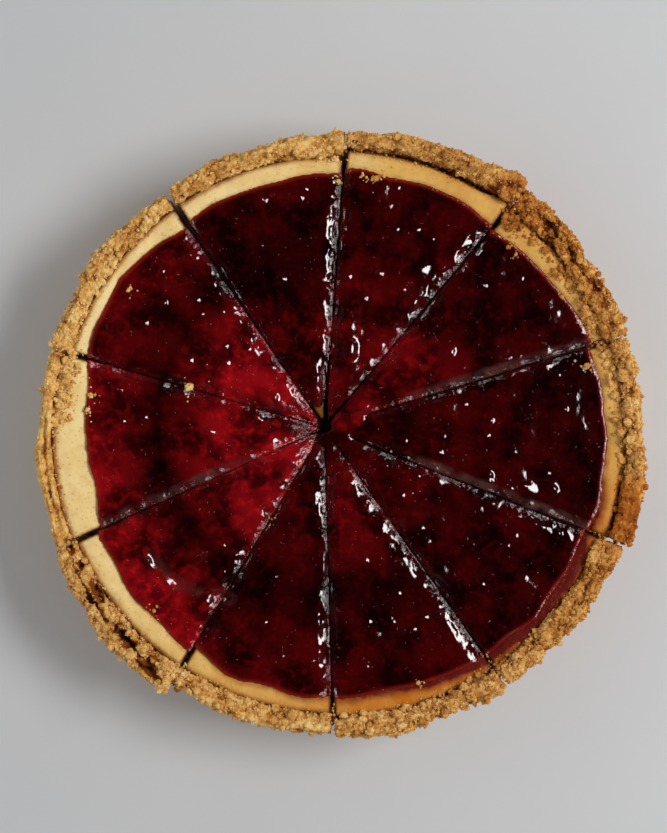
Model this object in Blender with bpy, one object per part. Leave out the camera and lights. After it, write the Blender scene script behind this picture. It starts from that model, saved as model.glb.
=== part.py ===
"""A baked cheesecake with a jam top, cut into ten slices that still stand together.

Every slice is three solids: a crumb crust (base and wall in one), the baked
filling that stands on it, and the layer of jam in the filling's shallow bed.
The slices meet near the middle and are parted by the narrow kerfs of a knife.
Lengths are in metres, +Z is up, and the cake stands on z = 0.
"""
import math
import random
from collections import namedtuple

import bmesh
import bpy
from mathutils import Vector

MM = 0.001

# ---- driving dimensions ---------------------------------------------------

GAP = 0.3 * MM                    # between solids that touch
KERF_MIDDLE = 0.5 * MM            # width of a knife cut where the cuts meet
KERF_RIM = 1.5 * MM               # and at the rim, where the slices stand a little apart
CUT_CENTRE = (-4.0 * MM, 2.6 * MM)  # where the cuts meet, off the cake's middle

TIN_RADIUS = 113.6 * MM           # the tin that shaped the base and the lower wall
TIN_HOLD = 0.65                   # how far the foot keeps to it; the rim is freer
BASE_THICKNESS = 6.5 * MM         # pressed crumb base
BASE_FILLET = 2.5 * MM            # crumbs packed into the corner of base and wall
FOOT_CHAMFER = 1.5 * MM           # outer bottom edge, rounded by the tin
CREST_ROUNDING = 2.2 * MM         # outer shoulder of the rim
GROOVE_HALF_WIDTH = 1.2 * MM      # furrow along the top of the rim
GROOVE_DEPTH = 1.0 * MM           # where the rim is whole

FILLING_TOP = 40.3 * MM           # crest of the bare baked band beside the wall
JAM_SHORE = 1.3 * MM              # how far the band falls towards the jam's edge
BED_LEVEL = 36.4 * MM             # baked surface below the jam
JAM_TOP = 40.0 * MM
CRACK_LEVEL = 30.0 * MM           # how deep the wall comes away from the filling

BED_DROOP = 0.8 * MM              # the knife drags the surfaces down at a cut
JAM_DROOP = 1.5 * MM
DROOP_REACH = 2.4 * MM
JAM_ROLL = 0.2 * MM               # the jam stands up in a soft roll beside the cut
JAM_ROLL_PLACE = 4.5 * MM
JAM_SWELL = 0.5 * MM              # slow unevenness of the spread jam
TIP_SINK = 2.2 * MM               # the tips were pressed down by every cut
TIP_REACH = 13.0 * MM

BAND_SHOULDER = 1.0 * MM          # the bare band is rounded where it meets the wall
BAND_SHOULDER_WIDTH = 1.8 * MM
SHORE_LIP = 1.5 * MM              # and rises softly from the jam's edge
SHORE_LIP_RISE = 0.5 * MM
JAM_LIP = 0.7 * MM                # the jam's edge is a thin rounded lip
JAM_LIP_RISE = 1.0 * MM
JAM_SLOPE = 4.0 * MM              # from the edge to where the jam is almost at its full height
JAM_SLOPE_SHORT = 0.3 * MM

RIM_LUMPS = 1.1 * MM              # unevenness of the crumb rim
INNER_RIDGE_DROP = 1.2            # the inner ridge is lower than the rim, in rim lumps
INNER_RIDGE_LUMPS = 0.8
OUTLINE_LUMPS = 0.8 * MM          # unevenness of the outer wall
JAM_EDGE_WAVES = 0.7 * MM

MIDDLE_RADII = (62.0 * MM, 30.0 * MM, 15.0 * MM)   # rings of the bed and the jam's underside
JAM_TOP_RADII = (85.0 * MM, 62.0 * MM, 40.0 * MM, 24.0 * MM, 15.0 * MM)
SHORE_WIDTH = 7.0 * MM            # from the jam's edge to the level bed

# Angular places of the vertices of a slice, closer together beside its cuts.
FRACTIONS = (0.0, 0.035, 0.09, 0.17, 0.27, 0.38, 0.5, 0.62, 0.73, 0.83, 0.91, 0.965, 1.0)

# One row a slice, going round anticlockwise from the right. cut is the
# direction of its first side in degrees, and the lengths are in millimetres:
# the outline's radius at the first and last side, the wall's inner radius, the
# height of the rim, the jam's reach at the first side, middle and last side,
# how far the slice is pulled out, and how far the tips of its filling and of
# its jam fall short of the cut.
Slice = namedtuple("Slice", "cut outer_first outer_last wall rim jam_first jam_middle"
                            " jam_last pulled filling_tip jam_tip")
SLICES = (
    Slice(17.1, 116.0, 117.4, 108.0, 44.4, 101.6, 100.6, 97.0, 0.2, 0.8, 1.0),
    Slice(50.0, 118.2, 114.8, 108.8, 46.0, 99.4, 100.0, 99.4, 0.3, 1.5, 3.0),
    Slice(85.8, 114.2, 112.2, 105.2, 44.5, 98.6, 98.6, 98.0, 0.0, 1.5, 7.0),
    Slice(124.0, 112.4, 112.6, 104.6, 43.8, 95.8, 100.2, 97.6, 0.2, 0.3, 1.0),
    Slice(163.7, 112.0, 113.6, 107.0, 43.4, 97.8, 93.8, 94.8, 0.0, 0.3, 0.8),
    Slice(204.4, 114.2, 116.6, 105.6, 44.6, 96.8, 97.4, 98.8, 0.0, 0.5, 1.2),
    Slice(239.1, 112.8, 113.2, 105.2, 43.6, 96.8, 99.4, 99.0, 0.0, 0.5, 1.8),
    Slice(271.6, 114.4, 115.2, 106.4, 44.4, 98.8, 99.8, 100.6, 0.0, 0.4, 1.2),
    Slice(305.2, 115.0, 116.0, 106.2, 44.3, 100.4, 101.8, 101.0, 0.0, 0.6, 1.0),
    Slice(338.5, 118.8, 115.4, 109.8, 45.2, 102.6, 102.6, 101.6, 0.0, 1.0, 2.4),
)
# Cuts that gape towards the rim: index of the cut and half its opening angle.
GAPING_CUTS = {3: 0.22}

# Cracks in the crumbs: first and last direction in degrees and depth.
Crack = namedtuple("Crack", "first last depth")
RIM_CRACKS = (
    Crack(28.0, 42.0, 5.0 * MM),
    Crack(178.0, 201.0, 5.0 * MM),
    Crack(209.0, 236.0, 7.0 * MM),
    Crack(326.0, 334.0, 3.0 * MM),
)
# Stretches where the wall has come away from the filling, with the opening.
WALL_CRACKS = (
    Crack(54.0, 87.0, 2.6 * MM),
    Crack(340.0, 352.0, 0.8 * MM),
    Crack(39.0, 48.0, 1.6 * MM),
)
CRACK_FADE = 3.0                  # degrees over which a crack closes
CRACK_STEEPNESS = 4.0
SHARP_ANGLE = math.radians(40.0)  # edges sharper than this are not shaded smooth


# ---- helpers ---------------------------------------------------------------

def clear_scene():
    for item in list(bpy.data.objects):
        bpy.data.objects.remove(item, do_unlink=True)


def waves(seed, count=5, slowest=3, fastest=26):
    """A smooth random function of a direction in degrees, within about 1 of zero."""
    draw = random.Random(seed)
    parts = [(draw.randint(slowest, fastest), draw.uniform(0.0, math.tau)) for _ in range(count)]

    def value(degrees):
        turn = math.radians(degrees)
        return sum(math.sin(speed * turn + phase) for speed, phase in parts) / math.sqrt(count)

    return value


def window(degrees, first, last):
    """1 between two directions, fading to 0 outside them."""
    middle = (first + last) / 2
    away = abs((degrees - middle + 180.0) % 360.0 - 180.0) - (last - first) / 2
    return 1.0 / (1.0 + math.exp(CRACK_STEEPNESS * away / CRACK_FADE))


def crack_size(degrees, cracks):
    return max(crack.depth * window(degrees, crack.first, crack.last) for crack in cracks)


def through_three(first, middle, last, part):
    """Quadratic through three values at part = 0, 0.5 and 1."""
    return (first * (1 - part) * (1 - 2 * part) + middle * 4 * part * (1 - part)
            + last * part * (2 * part - 1))


# ---- the geometry of one slice ----------------------------------------------

class Wedge:
    """Where the points of one slice lie between its two cuts."""

    def __init__(self, index):
        self.row = SLICES[index]
        following = (index + 1) % len(SLICES)
        opening = math.degrees((KERF_RIM - KERF_MIDDLE) / 2 / TIN_RADIUS)
        self.first = self.row.cut + opening + GAPING_CUTS.get(index, 0.0)
        self.last = SLICES[following].cut - opening - GAPING_CUTS.get(following, 0.0)
        if self.last < self.first:
            self.last += 360.0
        self.seed = 100 * (index + 1)
        half = math.radians(self.last - self.first) / 2
        bisector = math.radians(self.first) + half
        self.outward = Vector((math.cos(bisector), math.sin(bisector), 0.0))
        self.centre = self.outward * self.row.pulled * MM
        self.apex = (Vector((*CUT_CENTRE, 0.0)) + self.centre
                     + self.outward * (KERF_MIDDLE / 2) / math.sin(half))
        self.outline = waves(self.seed + 1)
        self.crest = waves(self.seed + 2)
        self.inner_crest = waves(self.seed + 3)
        self.jam_edge = waves(self.seed + 4, slowest=8, fastest=30)
        self.jam_swell = waves(self.seed + 5, slowest=4, fastest=12)

    def direction(self, part):
        return self.first + (self.last - self.first) * part

    def place(self, part, radius):
        """The point on the ray of this part of the slice at a radius from the middle."""
        turn = math.radians(self.direction(part))
        ray = Vector((math.cos(turn), math.sin(turn), 0.0))
        start = self.apex - self.centre
        along = start.dot(ray)
        reach = -along + math.sqrt(along * along + radius * radius - start.length_squared)
        return self.apex + ray * reach

    def from_cut(self, part, radius):
        """Distance of that point from the nearer cut face."""
        turned = math.radians(self.last - self.first) * min(part, 1.0 - part)
        return self.reach(part, radius) * math.sin(turned)

    def droop(self, part, radius):
        """1 at a cut face, falling to 0 inside the slice."""
        return math.exp(-(self.from_cut(part, radius) / DROOP_REACH) ** 2)

    def roll(self, part, radius):
        """1 on the line of the roll beside a cut."""
        away = self.from_cut(part, radius) - JAM_ROLL_PLACE
        return math.exp(-(away / DROOP_REACH) ** 2)

    def reach(self, part, radius):
        return (self.place(part, radius) - self.apex).length

    def sink(self, reach):
        """How far the surfaces are pressed down near the tip."""
        return TIP_SINK * math.exp(-(reach / TIP_REACH) ** 2)

    def tip(self, short, height):
        point = self.apex + self.outward * short * MM
        return Vector((point.x, point.y, height))

    # radii and heights, each for a part of the way round the slice

    def outer(self, part):
        plain = self.row.outer_first + (self.row.outer_last - self.row.outer_first) * part
        return plain * MM + OUTLINE_LUMPS * self.outline(self.direction(part))

    def foot(self, part):
        return TIN_RADIUS * TIN_HOLD + self.outer(part) * (1.0 - TIN_HOLD)

    def wall(self):
        return self.row.wall * MM

    def rim_top(self, part):
        return self.row.rim * MM + RIM_LUMPS * self.crest(self.direction(part))

    def inner_top(self, part):
        lumps = INNER_RIDGE_LUMPS * self.inner_crest(self.direction(part))
        return self.row.rim * MM - RIM_LUMPS * (INNER_RIDGE_DROP - lumps)

    def groove(self, part):
        return (self.outer(part) + self.wall()) / 2 - GROOVE_HALF_WIDTH / 2

    def groove_depth(self, part):
        return GROOVE_DEPTH + crack_size(self.direction(part), RIM_CRACKS)

    def stand_off(self, part):
        return GAP + crack_size(self.direction(part), WALL_CRACKS)

    def jam_reach(self, part):
        plain = through_three(self.row.jam_first, self.row.jam_middle, self.row.jam_last, part)
        return plain * MM + JAM_EDGE_WAVES * self.jam_edge(self.direction(part))

    def shore(self, part):
        return FILLING_TOP - JAM_SHORE - BED_DROOP * self.droop(part, self.jam_reach(part))

    def bed(self, part, radius):
        return (BED_LEVEL - BED_DROOP * self.droop(part, radius)
                - self.sink(self.reach(part, radius)))

    def bed_near_tip(self, short):
        """Height of the bed between the filling's tip and its first ring."""
        ring = self.reach(0.5, MIDDLE_RADII[-1])
        start = self.row.filling_tip * MM
        low = BED_LEVEL - BED_DROOP - self.sink(start)
        climb = self.bed(0.5, MIDDLE_RADII[-1]) - low
        return low + climb * (short * MM - start) / (ring - start)

    def jam_surface(self, part, radius):
        swell = JAM_SWELL * self.jam_swell(self.direction(part) + radius / MM)
        return (JAM_TOP + swell * (1.0 - self.droop(part, radius))
                - JAM_DROOP * self.droop(part, radius) + JAM_ROLL * self.roll(part, radius)
                - self.sink(self.reach(part, radius)))


def sweep(wedge, low_tip, rings, high_tip, slope=1):
    """Close a solid over a slice: a tip below, rings out, up and back, a tip above.

    Each ring gives a radius and a height for a part of the way round. slope
    picks the diagonal of each four-sided patch, so that two solids that lie
    on each other are bent alike.
    """
    bm = bmesh.new()
    low = bm.verts.new(low_tip)
    high = bm.verts.new(high_tip)
    grid = []
    for ring in rings:
        row = []
        for part in FRACTIONS:
            radius, height = ring(part)
            flat = wedge.place(part, radius)
            row.append(bm.verts.new((flat.x, flat.y, height)))
        grid.append(row)
    for step in range(len(FRACTIONS) - 1):
        bm.faces.new((low, grid[0][step + 1], grid[0][step]))
        bm.faces.new((grid[-1][step], grid[-1][step + 1], high))
        for lower, upper in zip(grid, grid[1:]):
            corners = (lower[step], lower[step + 1], upper[step + 1], upper[step])
            if slope == 1:
                bm.faces.new((corners[0], corners[1], corners[2]))
                bm.faces.new((corners[0], corners[2], corners[3]))
            else:
                bm.faces.new((corners[0], corners[1], corners[3]))
                bm.faces.new((corners[1], corners[2], corners[3]))
    bm.faces.new([low] + [row[0] for row in grid] + [high])
    bm.faces.new([high] + [row[-1] for row in reversed(grid)] + [low])
    return bm


def add_object(name, bm, material, parent):
    mesh = bpy.data.meshes.new(name)
    bm.to_mesh(mesh)
    bm.free()
    mesh.shade_smooth()
    mesh.set_sharp_from_angle(angle=SHARP_ANGLE)
    mesh.materials.append(material)
    item = bpy.data.objects.new(name, mesh)
    bpy.context.collection.objects.link(item)
    item.parent = parent
    return item


# ---- materials ---------------------------------------------------------------

def plain_material(name, colour, roughness):
    material = bpy.data.materials.new(name)
    material.use_nodes = True
    shader = material.node_tree.nodes["Principled BSDF"]
    shader.inputs["Base Color"].default_value = (*colour, 1.0)
    shader.inputs["Roughness"].default_value = roughness
    shader.inputs["Metallic"].default_value = 0.0
    return material


def crust_material():
    return plain_material("crumb_crust", (0.52, 0.28, 0.10), 0.85)


def filling_material():
    return plain_material("baked_filling", (0.76, 0.48, 0.21), 0.55)


def jam_material():
    return plain_material("jam", (0.075, 0.002, 0.004), 0.12)


# ---- the three solids of a slice ---------------------------------------------

def crust(wedge):
    """Base and wall as one piece, with an uneven two-ridged rim."""
    rings = (
        lambda part: (wedge.foot(part) - FOOT_CHAMFER, 0.0),
        lambda part: (wedge.foot(part), FOOT_CHAMFER),
        lambda part: (wedge.foot(part), wedge.rim_top(part) / 2),
        lambda part: (wedge.outer(part) - CREST_ROUNDING / 4,
                      wedge.rim_top(part) - 2 * CREST_ROUNDING),
        lambda part: (wedge.outer(part) - CREST_ROUNDING, wedge.rim_top(part) - CREST_ROUNDING / 3),
        lambda part: (wedge.groove(part) + GROOVE_HALF_WIDTH, wedge.rim_top(part)),
        lambda part: (wedge.groove(part), wedge.rim_top(part) - wedge.groove_depth(part)),
        lambda part: (wedge.groove(part) - GROOVE_HALF_WIDTH, wedge.inner_top(part)),
        lambda part: (wedge.wall(), wedge.inner_top(part) - CREST_ROUNDING / 2),
        lambda part: (wedge.wall(), BASE_THICKNESS + BASE_FILLET),
        lambda part: (wedge.wall() - BASE_FILLET, BASE_THICKNESS),
    )
    return sweep(wedge, wedge.tip(0.0, 0.0), rings, wedge.tip(0.0, BASE_THICKNESS))


def filling(wedge):
    """The baked filling: a bare band beside the wall, then the bed of the jam."""
    side = GAP + BASE_FILLET
    floor = BASE_THICKNESS + GAP
    rings = [
        lambda part: (wedge.wall() - side, floor),
        lambda part: (wedge.wall() - GAP, floor + BASE_FILLET),
        lambda part: (wedge.wall() - GAP, CRACK_LEVEL),
        lambda part: (wedge.wall() - wedge.stand_off(part), FILLING_TOP - BAND_SHOULDER),
        lambda part: (wedge.wall() - wedge.stand_off(part) - BAND_SHOULDER_WIDTH,
                      FILLING_TOP - BED_DROOP * wedge.droop(part, wedge.wall())),
        lambda part: (wedge.jam_reach(part) + SHORE_LIP, wedge.shore(part) + SHORE_LIP_RISE),
        lambda part: (wedge.jam_reach(part), wedge.shore(part)),
        lambda part: (wedge.jam_reach(part) - SHORE_WIDTH,
                      wedge.bed(part, wedge.jam_reach(part) - SHORE_WIDTH)),
    ]
    rings += [lambda part, radius=radius: (radius, wedge.bed(part, radius))
              for radius in MIDDLE_RADII]
    low = wedge.tip(wedge.row.filling_tip, floor)
    high = wedge.tip(wedge.row.filling_tip, wedge.bed_near_tip(wedge.row.filling_tip))
    return sweep(wedge, low, rings, high, slope=-1)


def jam(wedge):
    """The jam: thin at its edge, sagging at the cuts with a soft roll beside them."""
    rings = [lambda part, radius=radius: (radius, wedge.bed(part, radius) + GAP)
             for radius in reversed(MIDDLE_RADII)]
    rings += [
        lambda part: (wedge.jam_reach(part) - SHORE_WIDTH,
                      wedge.bed(part, wedge.jam_reach(part) - SHORE_WIDTH) + GAP),
        lambda part: (wedge.jam_reach(part), wedge.shore(part) + GAP),
        lambda part: (wedge.jam_reach(part) - JAM_LIP, wedge.shore(part) + JAM_LIP_RISE),
        lambda part: (wedge.jam_reach(part) - JAM_SLOPE,
                      wedge.jam_surface(part, wedge.jam_reach(part)) - JAM_SLOPE_SHORT),
    ]
    rings += [lambda part, radius=radius: (radius, wedge.jam_surface(part, radius))
              for radius in JAM_TOP_RADII]
    short = wedge.row.jam_tip
    low = wedge.tip(short, wedge.bed_near_tip(short) + GAP + BED_DROOP / 2)
    high = wedge.tip(short, JAM_TOP - JAM_DROOP - wedge.sink(short * MM))
    return sweep(wedge, low, rings, high)


def middle_of_box(items):
    """The middle of the box round some unmoved objects, on the plane z = 0."""
    places = [vertex.co for item in items for vertex in item.data.vertices]
    across = [(min(axis) + max(axis)) / 2 for axis in zip(*places)]
    return Vector((across[0], across[1], 0.0))


def build_cake():
    clear_scene()
    cake = bpy.data.objects.new("cake", None)
    bpy.context.collection.objects.link(cake)
    looks = (crust_material(), filling_material(), jam_material())
    pieces = []
    for index in range(len(SLICES)):
        wedge = Wedge(index)
        for kind, shape, look in zip(("crust", "filling", "jam"), (crust, filling, jam), looks):
            name = f"{kind}_{index + 1:02d}"
            pieces.append(add_object(name, shape(wedge), look, cake))
    cake.location = -middle_of_box(pieces)


build_cake()
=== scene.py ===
# %% [markdown]
# # A baked cheesecake, cut into ten slices
#
# This lesson gives a cheesecake its looks. The plain solids of the cake are
# already made: for each of the ten slices a crumb crust, the baked filling
# that stands in it and the layer of jam on top. They fix every size and
# place. Here each of them is copied, given a fine skin and a finish, and the
# loose crumbs that no plain solid can show are added. Lengths are in metres
# and +Z is up.

# %% Load the plain solids
import math

import bpy
import numpy as np
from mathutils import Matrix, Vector
from mathutils.bvhtree import BVHTree
from mathutils.kdtree import KDTree


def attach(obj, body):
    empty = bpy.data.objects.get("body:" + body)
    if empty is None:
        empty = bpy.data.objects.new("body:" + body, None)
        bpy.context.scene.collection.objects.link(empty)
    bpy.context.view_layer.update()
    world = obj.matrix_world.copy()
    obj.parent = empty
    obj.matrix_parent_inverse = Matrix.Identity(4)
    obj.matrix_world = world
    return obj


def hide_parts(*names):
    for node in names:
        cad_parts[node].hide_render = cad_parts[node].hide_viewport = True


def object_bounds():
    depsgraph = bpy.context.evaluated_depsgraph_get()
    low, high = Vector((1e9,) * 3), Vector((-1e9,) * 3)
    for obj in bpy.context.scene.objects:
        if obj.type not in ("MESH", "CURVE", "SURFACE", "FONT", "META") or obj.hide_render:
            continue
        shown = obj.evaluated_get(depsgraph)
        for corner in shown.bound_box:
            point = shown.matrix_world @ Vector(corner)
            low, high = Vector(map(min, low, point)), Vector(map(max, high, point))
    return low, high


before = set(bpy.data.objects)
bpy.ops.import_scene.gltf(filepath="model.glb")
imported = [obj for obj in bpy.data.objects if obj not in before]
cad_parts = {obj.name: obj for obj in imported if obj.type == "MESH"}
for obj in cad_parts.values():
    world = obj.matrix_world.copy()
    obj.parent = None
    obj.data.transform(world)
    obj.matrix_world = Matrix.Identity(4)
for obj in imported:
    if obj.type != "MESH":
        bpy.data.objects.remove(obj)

MM = 0.001
SLICES = sorted(name[-2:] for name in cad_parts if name.startswith("crust_"))
CAKE_LOW, CAKE_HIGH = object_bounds()
print("slices:", len(SLICES), "cake in mm:", [round(side / MM, 1) for side in CAKE_HIGH - CAKE_LOW])

# %% [markdown]
# ## The camera, the floor and the light
#
# The camera comes first, so that each later step can be looked at. The cake
# is seen from straight above. It stands a little to the right of and below
# the middle of the picture, so the camera is moved and not the cake. A long
# lens from far away would flatten the rim completely and a short one would
# show its inner face all round; 0.7 m is about where a person would hold it.

# %% Camera straight above
CAMERA_HEIGHT = 0.72
PICTURE_HEIGHT = 310 * MM                   # what the long side of the picture takes in
CAMERA_PLACE = Vector((-2.0 * MM, 6.9 * MM, CAMERA_HEIGHT))

bpy.ops.object.select_all(action="DESELECT")
bpy.ops.object.camera_add(location=CAMERA_PLACE, rotation=(0.0, 0.0, 0.0))
camera = bpy.context.object
camera.name = "camera"
camera.data.sensor_width = 36.0
camera.data.lens = 36.0 * (CAMERA_HEIGHT - CAKE_HIGH.z) / PICTURE_HEIGHT
camera.data.clip_end = 20.0
bpy.context.scene.camera = camera
bpy.context.scene.view_settings.view_transform = "Standard"
print("lens in mm:", round(camera.data.lens, 1))

# %% [markdown]
# A wet jam shows the light more than any other food. One wide soft lamp
# stands low on the right, like a window beside a table. A level surface then
# mirrors only the dark ceiling and stays deep red, and each bump or edge that
# leans towards the window gets a bright fleck. The shadows are kept open by
# the world, which is bright near the horizon and dark above for the same
# reason: a bright ceiling would lay a grey veil on the jam. A second, very
# large and faint lamp on the left does the work of a pale wall. It is hidden
# from gloss, and the jam mirrors a darker room than the one that lights it.

# %% Lamps, world and floor
def lamp(name, azimuth, elevation, away, size, power, colour):
    """A wide area lamp that looks at the cake; size is its width and height."""
    turn, rise = math.radians(azimuth), math.radians(elevation)
    towards = Vector((math.cos(turn) * math.cos(rise), math.sin(turn) * math.cos(rise), math.sin(rise)))
    bpy.ops.object.light_add(type="AREA", location=towards * away)
    item = bpy.context.object
    item.name = name
    item.rotation_euler = towards.to_track_quat("Z", "Y").to_euler()
    item.data.shape = "RECTANGLE"
    item.data.size, item.data.size_y = size
    item.data.energy = power
    item.data.color = colour
    return item


lamp("window", azimuth=8.0, elevation=52.0, away=1.15, size=(0.56, 0.34), power=8.6,
     colour=(1.0, 0.985, 0.97))
pale_wall = lamp("pale_wall", azimuth=185.0, elevation=32.0, away=2.0, size=(2.6, 1.6), power=8.0,
                 colour=(0.97, 0.98, 1.0))
pale_wall.visible_glossy = False


def new_tree(owner):
    """Empty the node tree of a material or a world and return it."""
    owner.use_nodes = True
    owner.node_tree.nodes.clear()
    return owner.node_tree


def add(tree, kind, links=None, **values):
    """Add a shader node, set its inputs and properties, and link its inputs to sockets."""
    item = tree.nodes.new("ShaderNode" + kind)
    for name, value in values.items():
        socket = item.inputs.get(name.replace("_", " ").title())
        if socket is None:
            setattr(item, name, value)
        else:
            socket.default_value = value
    for name, source in (links or {}).items():
        tree.links.new(source, item.inputs[name])
    return item


world = bpy.data.worlds.new("room")
bpy.context.scene.world = world
tree = new_tree(world)
direction = add(tree, "TexCoord")
split = add(tree, "SeparateXYZ", {"Vector": direction.outputs["Generated"]})
height = add(tree, "ValToRGB", {"Fac": split.outputs["Z"]})
height.color_ramp.elements[0].position = 0.0
height.color_ramp.elements[0].color = (0.60, 0.62, 0.66, 1.0)
height.color_ramp.elements[1].position = 0.8
height.color_ramp.elements[1].color = (0.24, 0.24, 0.24, 1.0)
room_light = add(tree, "Background", {"Color": height.outputs["Color"]}, strength=1.0)
mirrored = add(tree, "ValToRGB", {"Fac": split.outputs["Z"]})
mirrored.color_ramp.elements[0].color = (0.13, 0.13, 0.15, 1.0)
mirrored.color_ramp.elements[1].position = 0.6
mirrored.color_ramp.elements[1].color = (0.004, 0.004, 0.004, 1.0)
mirrored_room = add(tree, "Background", {"Color": mirrored.outputs["Color"]}, strength=1.0)
backdrop = add(tree, "Background", color=(0.62, 0.62, 0.63, 1.0), strength=1.0)
seen = add(tree, "LightPath")
room = add(tree, "MixShader", {0: seen.outputs["Is Glossy Ray"], 1: room_light.outputs[0],
                               2: mirrored_room.outputs[0]})
choice = add(tree, "MixShader", {0: seen.outputs["Is Camera Ray"], 1: room.outputs[0],
                                 2: backdrop.outputs[0]})
add(tree, "OutputWorld", {"Surface": choice.outputs[0]})
print("lamps and room are lit")

FLOOR_HALF = 4.0
bpy.ops.mesh.primitive_plane_add(size=2 * FLOOR_HALF, location=(0.0, 0.0, CAKE_LOW.z - 0.2 * MM))
floor = bpy.context.object
floor.name = "floor"

floor_look = bpy.data.materials.new("painted_table")
tree = new_tree(floor_look)
place = add(tree, "TexCoord")
clouds = add(tree, "TexNoise", {"Vector": place.outputs["Object"]}, scale=9.0, detail=4.0)
tone = add(tree, "MixRGB", {"Fac": clouds.outputs["Fac"]}, color1=(0.57, 0.58, 0.59, 1.0),
           color2=(0.63, 0.64, 0.65, 1.0))
shader = add(tree, "BsdfPrincipled", {"Base Color": tone.outputs["Color"]}, roughness=0.75)
add(tree, "OutputMaterial", {"Surface": shader.outputs["BSDF"]})
floor.data.materials.append(floor_look)

# %% [markdown]
# ## Where the knife went
#
# Several steps need to know how far a point is from a cut: the jam sags
# there, the crumbs stay flat there. The two cut faces of a slice can be read
# from its crust. On the underside of the base the tip is the corner nearest
# the middle of the cake, and the two sides run from it to the outer corners.

# %% Measure the slices
def points_of(mesh):
    """The vertices of a mesh as rows of x, y and z."""
    flat = np.empty(3 * len(mesh.vertices), np.float32)
    mesh.vertices.foreach_get("co", flat)
    return flat.reshape(-1, 3).astype(float)


def normals_of(mesh):
    flat = np.empty(3 * len(mesh.vertices), np.float32)
    mesh.vertex_normals.foreach_get("vector", flat)
    return flat.reshape(-1, 3).astype(float)


def set_points(mesh, points):
    mesh.vertices.foreach_set("co", points.astype(np.float32).ravel())
    mesh.update()


class Slice:
    """The tip and the two cut faces of one slice."""

    def __init__(self, number):
        self.number = number
        points = points_of(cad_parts["crust_" + number].data)
        foot = points[points[:, 2] < CAKE_LOW.z + 0.05 * MM][:, :2]
        self.tip = foot[np.argmin(np.hypot(foot[:, 0], foot[:, 1]))]
        rays = foot - self.tip
        rays = rays[np.hypot(rays[:, 0], rays[:, 1]) > 50 * MM]
        middle = rays.mean(0)
        turns = np.arctan2(middle[0] * rays[:, 1] - middle[1] * rays[:, 0], rays @ middle)
        base = math.atan2(middle[1], middle[0])
        self.first, self.last = base + turns.min(), base + turns.max()
        self.outward = np.array([math.cos(base), math.sin(base)])

    def from_first(self, points):
        """Distance of points from the first cut face, seen from above."""
        away = points[:, :2] - self.tip
        return away[:, 1] * math.cos(self.first) - away[:, 0] * math.sin(self.first)

    def from_last(self, points):
        away = points[:, :2] - self.tip
        return away[:, 0] * math.sin(self.last) - away[:, 1] * math.cos(self.last)

    def from_cut(self, points):
        return np.minimum(self.from_first(points), self.from_last(points))


slices = {number: Slice(number) for number in SLICES}
for number, cut in slices.items():
    print(number, "from", round(math.degrees(cut.first), 1), "to", round(math.degrees(cut.last), 1))

# %% [markdown]
# ## A fine skin for a plain solid
#
# A plain solid has a few hundred large triangles, too few for crumbs or
# ripples. Three ways lead to a finer mesh: subdivision, which rounds off the
# sharp cuts; sculpting, which needs a hand; and a voxel remesh, which lays an
# even net of small squares over the same shape. The remesh is chosen,
# because an even net takes a displacement equally well everywhere. The solid
# itself stays as it is: the work is done on a copy whose loose triangles are
# merged first.

# %% Copy, remesh and displace
def only(piece):
    """Select one object and make it active."""
    bpy.ops.object.select_all(action="DESELECT")
    piece.select_set(True)
    bpy.context.view_layer.objects.active = piece


def copy_of(node, name):
    """A copy of a plain solid with its doubles merged, free of its old material."""
    only(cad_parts[node])
    bpy.ops.object.duplicate()
    piece = bpy.context.object
    piece.name = name
    piece.data.name = name
    for key in list(piece.keys()):
        del piece[key]
    bpy.ops.object.mode_set(mode="EDIT")
    bpy.ops.mesh.select_all(action="SELECT")
    bpy.ops.mesh.remove_doubles(threshold=0.002 * MM)
    bpy.ops.object.mode_set(mode="OBJECT")
    piece.data.materials.clear()
    return piece


def apply_modifier(piece, kind, **settings):
    """Add a modifier, set it and apply it."""
    only(piece)
    bpy.ops.object.modifier_add(type=kind)
    modifier = piece.modifiers[-1]
    for name, value in settings.items():
        setattr(modifier, name, value)
    bpy.ops.object.modifier_apply(modifier=modifier.name)


def remesh(piece, grain):
    apply_modifier(piece, "REMESH", mode="VOXEL", voxel_size=grain, use_smooth_shade=True)


def texture(name, kind, size, **settings):
    """A procedural texture whose features measure about size."""
    item = bpy.data.textures.new(name, kind)
    item.noise_scale = size
    for key, value in settings.items():
        setattr(item, key, value)
    return item


def push(piece, group, weights, height, direction="NORMAL"):
    """Move the surface by a height, as far as each point's weight says."""
    weigh(piece, group, weights)
    apply_modifier(piece, "DISPLACE", direction=direction, strength=height, mid_level=0.0, vertex_group=group)


def displace(piece, pattern, height, group, middle=0.5):
    """Move the surface in and out by a texture; middle is the tone that stays where it is."""
    apply_modifier(piece, "DISPLACE", texture=pattern, texture_coords="LOCAL", strength=height,
                   mid_level=middle, vertex_group=group)


LEVELS = 24                                  # steps in which a weight is stored


def weigh(piece, group, weights):
    """Store a weight from 0 to 1 for every vertex, as a vertex group."""
    holder = piece.vertex_groups.new(name=group)
    steps = np.rint(np.clip(weights, 0.0, 1.0) * LEVELS).astype(int)
    for step in range(1, LEVELS + 1):
        members = np.nonzero(steps == step)[0]
        if len(members):
            holder.add(members.tolist(), step / LEVELS, "REPLACE")


def store(piece, name, values):
    """Keep one number for every vertex, for the material to read."""
    layer = piece.data.attributes.new(name, "FLOAT", "POINT")
    layer.data.foreach_set("value", np.asarray(values, np.float32))


def step_up(values, low, high):
    """0 below low, 1 above high and a smooth rise between."""
    part = np.clip((values - low) / (high - low), 0.0, 1.0)
    return part * part * (3.0 - 2.0 * part)


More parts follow.
